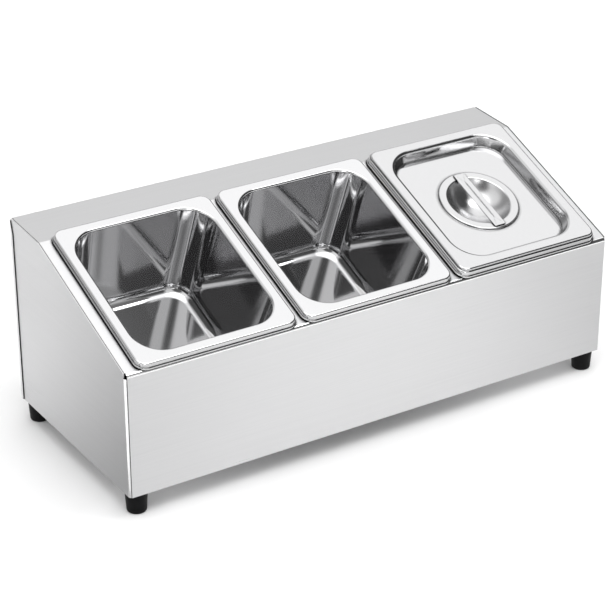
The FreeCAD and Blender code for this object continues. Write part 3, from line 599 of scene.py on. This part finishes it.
def pan_rings():
    """The visible skin of a pan, from the bottom of its hem over the rim and down to the floor."""
    rings = [inset_ring(RIM, -proud, height) for proud, height in HEM_SECTION]
    for sine, cosine in turns(0, RIGHT_ANGLE, RIM_BEND_STEPS):
        rings.append(inset_ring(RIM, RIM_BEND * (1 - cosine), RIM_TOP - RIM_BEND * (1 - sine)))
    draft = math.degrees(math.atan2(WALL_INSET, PAN_DEPTH))
    reach = math.tan(math.radians((RIGHT_ANGLE - draft) / 2))
    for sine, cosine in turns(0, RIGHT_ANGLE - draft, MOUTH_BEND_STEPS):
        inset = MOUTH_BEND * (sine - reach)
        rings.append(inset_ring(MOUTH, inset, RIM_TOP - MOUTH_BEND * (1 - cosine)))
    tightened = WALL_CORNER_LOSS / WALL_INSET
    for share in WALL_SHARES:
        inset = WALL_INSET * share
        rings.append(inset_ring(MOUTH, inset, RIM_TOP - PAN_DEPTH * share, inset * tightened))
    middle = WALL_INSET + FLOOR_BEND * reach
    floor = RIM_TOP - PAN_DEPTH
    for sine, cosine in turns(draft, RIGHT_ANGLE, FLOOR_BEND_STEPS):
        inset = middle - FLOOR_BEND * cosine
        loss = WALL_CORNER_LOSS + inset - WALL_INSET
        rings.append(inset_ring(MOUTH, inset, floor + FLOOR_BEND * (1 - sine), loss))
    return rings


def thicken(piece, thickness):
    """Gives a skin the thickness of its sheet, on its hidden side."""
    choose(piece)
    bpy.ops.object.modifier_add(type="SOLIDIFY")
    solidify = piece.modifiers[-1]
    solidify.thickness = thickness * MM
    solidify.offset = -1
    bpy.ops.object.modifier_apply(modifier=solidify.name)


def deck_place(across):
    """The middle of a pan's rim where it rests on the deck, in millimetres."""
    behind = DECK_FRONT[0] + PAN_ALONG * math.cos(DECK_SLOPE)
    above = DECK_FRONT[1] + PAN_ALONG * math.sin(DECK_SLOPE)
    return mathutils.Vector((across, behind, above))


def set_on_deck(piece, across):
    """Tilts a piece with the deck, at the middle of a pan's rim."""
    settle(piece, deck_place(across), (DECK_SLOPE, 0, 0))


polish = steel(
    "polished_steel", POLISH_TONE, POLISH_SHADE, POLISH_GLOSS, FRONT_TO_BACK,
    along=POLISH_ALONG, across=POLISH_ACROSS, relief=POLISH_RELIEF,
)
pan = stack_rings("pan_pattern", pan_rings(), "cap")
thicken(pan, PAN_SHEET)
smooth(pan)
pan.data.materials.append(polish)
for name, across in PANS.items():
    drawn_pan = copy_piece(pan, f"drawn_{name}")
    set_on_deck(drawn_pan, across)
    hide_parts(name)
    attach(drawn_pan, name)
bpy.data.objects.remove(pan)

# Lid
# A pressed lid of polished stainless sheet on the right pan. A short lip rests on the pan's rim, and the
# sunken panel rises to a ring round a brushed bowl that leaves room for fingers.
LID = (159.2, 173.2, 9.0)
LID_TOP = 9.6
LID_BEND = 1.7
LID_BEND_STEPS = 6
LID_SHEET = 0.8
RECESS = (136.0, 150.0, 29.0)
RECESS_DEPTH = 11.2
RECESS_DRAFT = 4.0
RECESS_BEND = 4.0
RECESS_BEND_STEPS = 7
PANEL_TOP = LID_TOP - RECESS_DEPTH
PANEL_BEND = 1.0
PANEL_BEND_STEPS = 6
RING_RADIUS = 40.5
RING_RISE = 2.0
RING_TOP = PANEL_TOP + RING_RISE
RING_FOOT = ((0.9, 0.0), (0.45, 0.08), (0.12, 0.35))
RING_BEND = 1.4
RING_BEND_STEPS = 6
BOWL_RADIUS = 32.0
BOWL_DEPTH = 18.0
BOWL_BEND = 2.4
BOWL_BEND_STEPS = 6
BOWL_BALL = (BOWL_RADIUS**2 + BOWL_DEPTH**2) / (2 * BOWL_DEPTH)
BOWL_BOTTOM = RING_TOP - BOWL_DEPTH
BOWL_STEPS = 14
BOWL_LAST_ANGLE = 1.5
BRUSH_EDGE = (0.2, 0.5)
BRUSH_ROUGHNESS = 0.24
LID_TONE = (0.58, 0.58, 0.585, 1.0)
LID_SHADE = (0.55, 0.55, 0.556, 1.0)
LID_GLOSS = (0.08, 0.12)
LID_RELIEF = 0.003
# Reach of the painted shade in the lid's hollows.
LID_SHADE_REACH = 0.0035


def lid_rings():
    """The visible skin of the lid, from the bottom of its lip to the middle of the bowl."""
    rings = [inset_ring(LID, 0.0, RIM_TOP)]
    for sine, cosine in turns(0, RIGHT_ANGLE, LID_BEND_STEPS):
        rings.append(inset_ring(LID, LID_BEND * (1 - cosine), LID_TOP - LID_BEND * (1 - sine)))
    draft = math.degrees(math.atan2(RECESS_DRAFT, RECESS_DEPTH))
    reach = math.tan(math.radians((RIGHT_ANGLE - draft) / 2))
    for sine, cosine in turns(0, RIGHT_ANGLE - draft, RECESS_BEND_STEPS):
        inset = RECESS_BEND * (sine - reach)
        rings.append(inset_ring(RECESS, inset, LID_TOP - RECESS_BEND * (1 - cosine)))
    middle = RECESS_DRAFT + PANEL_BEND * reach
    for sine, cosine in turns(draft, RIGHT_ANGLE, PANEL_BEND_STEPS):
        inset = middle - PANEL_BEND * cosine
        rings.append(inset_ring(RECESS, inset, PANEL_TOP + PANEL_BEND * (1 - sine)))
    for proud, rise in RING_FOOT:
        rings.append((circle_ring, RING_RADIUS + proud, PANEL_TOP + rise))
    for sine, cosine in turns(0, RIGHT_ANGLE, RING_BEND_STEPS):
        rings.append((circle_ring, RING_RADIUS - RING_BEND * (1 - cosine), RING_TOP - RING_BEND * (1 - sine)))
    slope = math.asin(BOWL_RADIUS / BOWL_BALL)
    start = BOWL_RADIUS + BOWL_BEND * math.tan(slope / 2)
    for sine, cosine in turns(0, math.degrees(slope), BOWL_BEND_STEPS):
        rings.append((circle_ring, start - BOWL_BEND * sine, RING_TOP - BOWL_BEND * (1 - cosine)))
    below = math.asin(rings[-1][1] / BOWL_BALL)
    for sine, cosine in turns(math.degrees(below), BOWL_LAST_ANGLE, BOWL_STEPS)[1:]:
        rings.append((circle_ring, BOWL_BALL * sine, BOWL_BOTTOM + BOWL_BALL * (1 - cosine)))
    return rings


def brush_bowl(material):
    """Dulls the inside of the bowl, which is brushed where the rest of the lid is polished."""
    tree = material.node_tree
    upright = mathutils.Euler((DECK_SLOPE, 0, 0)).to_matrix() @ mathutils.Vector((0, 0, 1))
    ball_middle = deck_place(PANS["right_pan"]) + upright * (BOWL_BOTTOM + BOWL_BALL)
    place = place_node(tree, "ShaderNodeTexCoord").outputs["Object"]
    distance = place_node(
        tree, "ShaderNodeVectorMath", {0: place, 1: ball_middle * MM}, operation="DISTANCE",
    )
    edge = [(BOWL_BALL + gap) * MM for gap in BRUSH_EDGE]
    brushed = map_span(tree, distance.outputs["Value"], edge, (1.0, 0.0))
    shift_roughness(material, brushed, BRUSH_ROUGHNESS)


lid_polish = steel(
    "lid_polish", LID_TONE, LID_SHADE, LID_GLOSS, FRONT_TO_BACK,
    along=POLISH_ALONG, across=POLISH_ACROSS, relief=LID_RELIEF, reach=LID_SHADE_REACH,
)
strap_polish = lid_polish.copy()
strap_polish.name = "strap_polish"
brush_bowl(lid_polish)
lid = stack_rings("pressed_lid", lid_rings(), "cap")
thicken(lid, LID_SHEET)
smooth(lid)
lid.data.materials.append(lid_polish)
set_on_deck(lid, PANS["right_pan"])
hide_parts("lid")
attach(lid, "lid")

# Lid handle strap
# A flat stainless strap across the bowl, spot-welded to the ring at both ends, with a crease pressed
# along its middle to stiffen it.
STRAP = (12.6, 76.0, 2.0)
STRAP_UNDERSIDE_INSET = 1.5
STRAP_THICKNESS = 1.2
STRAP_TOP = RING_TOP + STRAP_THICKNESS
STRAP_BEND = 0.4
STRAP_BEND_STEPS = 4
STRAP_SMOOTH_ANGLE = 50
CREASE = (1.9, 49.0, 0.9)
CREASE_DEPTH = 0.5
CREASE_SLOPE = 0.6
CREASE_SHARES = (0.0, 0.5, 1.0)


def strap_rings():
    """The strap's skin, from its underside round to the bottom of the crease."""
    rings = [inset_ring(STRAP, inset, RING_TOP) for inset in (STRAP_UNDERSIDE_INSET, 0.0)]
    for sine, cosine in turns(0, RIGHT_ANGLE, STRAP_BEND_STEPS):
        rings.append(inset_ring(STRAP, STRAP_BEND * (1 - cosine), STRAP_TOP - STRAP_BEND * (1 - sine)))
    for share in CREASE_SHARES:
        rings.append(inset_ring(CREASE, CREASE_SLOPE * share, STRAP_TOP - CREASE_DEPTH * share))
    return rings


strap = stack_rings("creased_strap", strap_rings(), "cap")
close_skin(strap)
smooth(strap, STRAP_SMOOTH_ANGLE)
strap.data.materials.append(strap_polish)
set_on_deck(strap, PANS["right_pan"])
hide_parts("lid_handle_strap")
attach(strap, "lid")

# Studio
# A plain white floor, soft light from above and all round, grey cards near the floor that only
# reflections see, and the camera at the photograph's angle.
FLOOR_SIZE = 14
FLOOR_TONE = (0.95, 0.95, 0.95, 1.0)
FLOOR_ROUGHNESS = 0.9
bpy.ops.object.select_all(action="DESELECT")
bpy.ops.mesh.primitive_plane_add(size=FLOOR_SIZE, location=(0, 0, 0))
floor = bpy.context.object
floor.name = "studio_floor"
floor_paint, floor_shader = start_material("studio_white")
floor_shader.inputs["Base Color"].default_value = FLOOR_TONE
floor_shader.inputs["Roughness"].default_value = FLOOR_ROUGHNESS
floor.data.materials.append(floor_paint)

# The surround brightens as it rises. Each zone in it has an azimuth, an elevation, the angles from its
# middle to its soft edge and to its even core, and a tone.
SURROUND_RISE = (0.0, 0.8)
SURROUND_TONES = (0.6, 1.12)
LIGHT_ZONES = (
    (-60, 45, 42, 20, 0.42),
    (60, 60, 21, 14, 1.5),
    (70, 15, 33, 25, 0.06),
    (25, 3, 18, 10, 0.06),
    (33, 33, 20, 12, 0.95),
    (118, 24, 40, 26, 0.08),
    (-146, 24, 24, 12, 0.15),
    (-162, 4, 12, 6, 4.5),
    (-118, 14, 16, 8, 1.3),
    (-96, 58, 34, 16, 1.2),
    (-170, 72, 30, 14, 3.2),
    (128, 60, 10, 6, 7.0),
)
world = bpy.data.worlds.new("studio")
bpy.context.scene.world = world
world.use_nodes = True
sky = world.node_tree
backdrop = sky.nodes["Background"]
direction = place_node(sky, "ShaderNodeTexCoord").outputs["Generated"]
rise = place_node(sky, "ShaderNodeSeparateXYZ", {"Vector": direction}).outputs["Z"]
level = map_span(sky, rise, SURROUND_RISE, SURROUND_TONES)
for azimuth, elevation, edge, core, tone in LIGHT_ZONES:
    aim = mathutils.Euler((math.radians(elevation), 0, -math.radians(azimuth)))
    middle = aim.to_matrix() @ mathutils.Vector((0, 1, 0))
    facing = place_node(sky, "ShaderNodeVectorMath", {0: direction, 1: middle}, operation="DOT_PRODUCT")
    span = [math.cos(math.radians(angle)) for angle in (edge, core)]
    inside = map_span(sky, facing.outputs["Value"], span, kind="SMOOTHSTEP")
    blend = place_node(sky, "ShaderNodeMix", {"Factor": inside, "A": level, "B": tone})
    level = blend.outputs["Result"]
sky.links.new(level, backdrop.inputs["Color"])
backdrop.inputs["Strength"].default_value = 1.0

# Each card has a name, a place, a width and length, a tone, and the two places across its width between
# which it fades in.
FLAG_HEIGHT = 0.002
FLAG_TURN = math.radians(32.33)
FLAGS = (
    ("side_flag", (-0.3605, 0.1506), (0.2, 0.58), 0.33, (0.3, -0.6)),
    ("front_flag", (0.326, -0.291), (0.28, 0.7), 0.82, (-0.5, 0.4)),
    ("corner_flag", (-0.109, -0.258), (0.26, 0.5), 0.93, (0.5, -0.5)),
)


def add_flag(name, place, size, tone, fade):
    """A grey card near the floor that only reflections see. It fades in across its width."""
    bpy.ops.object.select_all(action="DESELECT")
    bpy.ops.mesh.primitive_plane_add(size=1, location=(*place, FLAG_HEIGHT), rotation=(0, 0, FLAG_TURN))
    flag = bpy.context.object
    flag.name = name
    flag.scale = (*size, 1)
    paint, shader = start_material(name)
    tree = paint.node_tree
    tree.nodes.remove(shader)
    spot = place_node(tree, "ShaderNodeTexCoord").outputs["Object"]
    across = place_node(tree, "ShaderNodeSeparateXYZ", {"Vector": spot}).outputs["X"]
    shown = map_span(tree, across, fade, kind="SMOOTHSTEP")
    clear = place_node(tree, "ShaderNodeBsdfTransparent")
    grey = place_node(tree, "ShaderNodeEmission", {"Color": (tone, tone, tone, 1.0)})
    mixed = place_node(tree, "ShaderNodeMixShader", {0: shown, 1: clear.outputs[0], 2: grey.outputs[0]})
    tree.links.new(mixed.outputs[0], tree.nodes["Material Output"].inputs["Surface"])
    flag.data.materials.append(paint)
    flag.visible_camera = False
    flag.visible_diffuse = False
    flag.visible_shadow = False


for flag in FLAGS:
    add_flag(*flag)

CAMERA_PLACE = (-0.9813, -1.5308, 0.9987)
CAMERA_AZIMUTH = -32.40
CAMERA_ELEVATION = 26.508
CAMERA_SENSOR = 36.0
CAMERA_LENS = 123.04
bpy.ops.object.camera_add(location=CAMERA_PLACE)
camera = bpy.context.object
camera.rotation_euler = (math.radians(RIGHT_ANGLE - CAMERA_ELEVATION), 0, math.radians(CAMERA_AZIMUTH))
camera.data.sensor_width = CAMERA_SENSOR
camera.data.lens = CAMERA_LENS
bpy.context.scene.camera = camera
bpy.context.scene.view_settings.view_transform = "Standard"
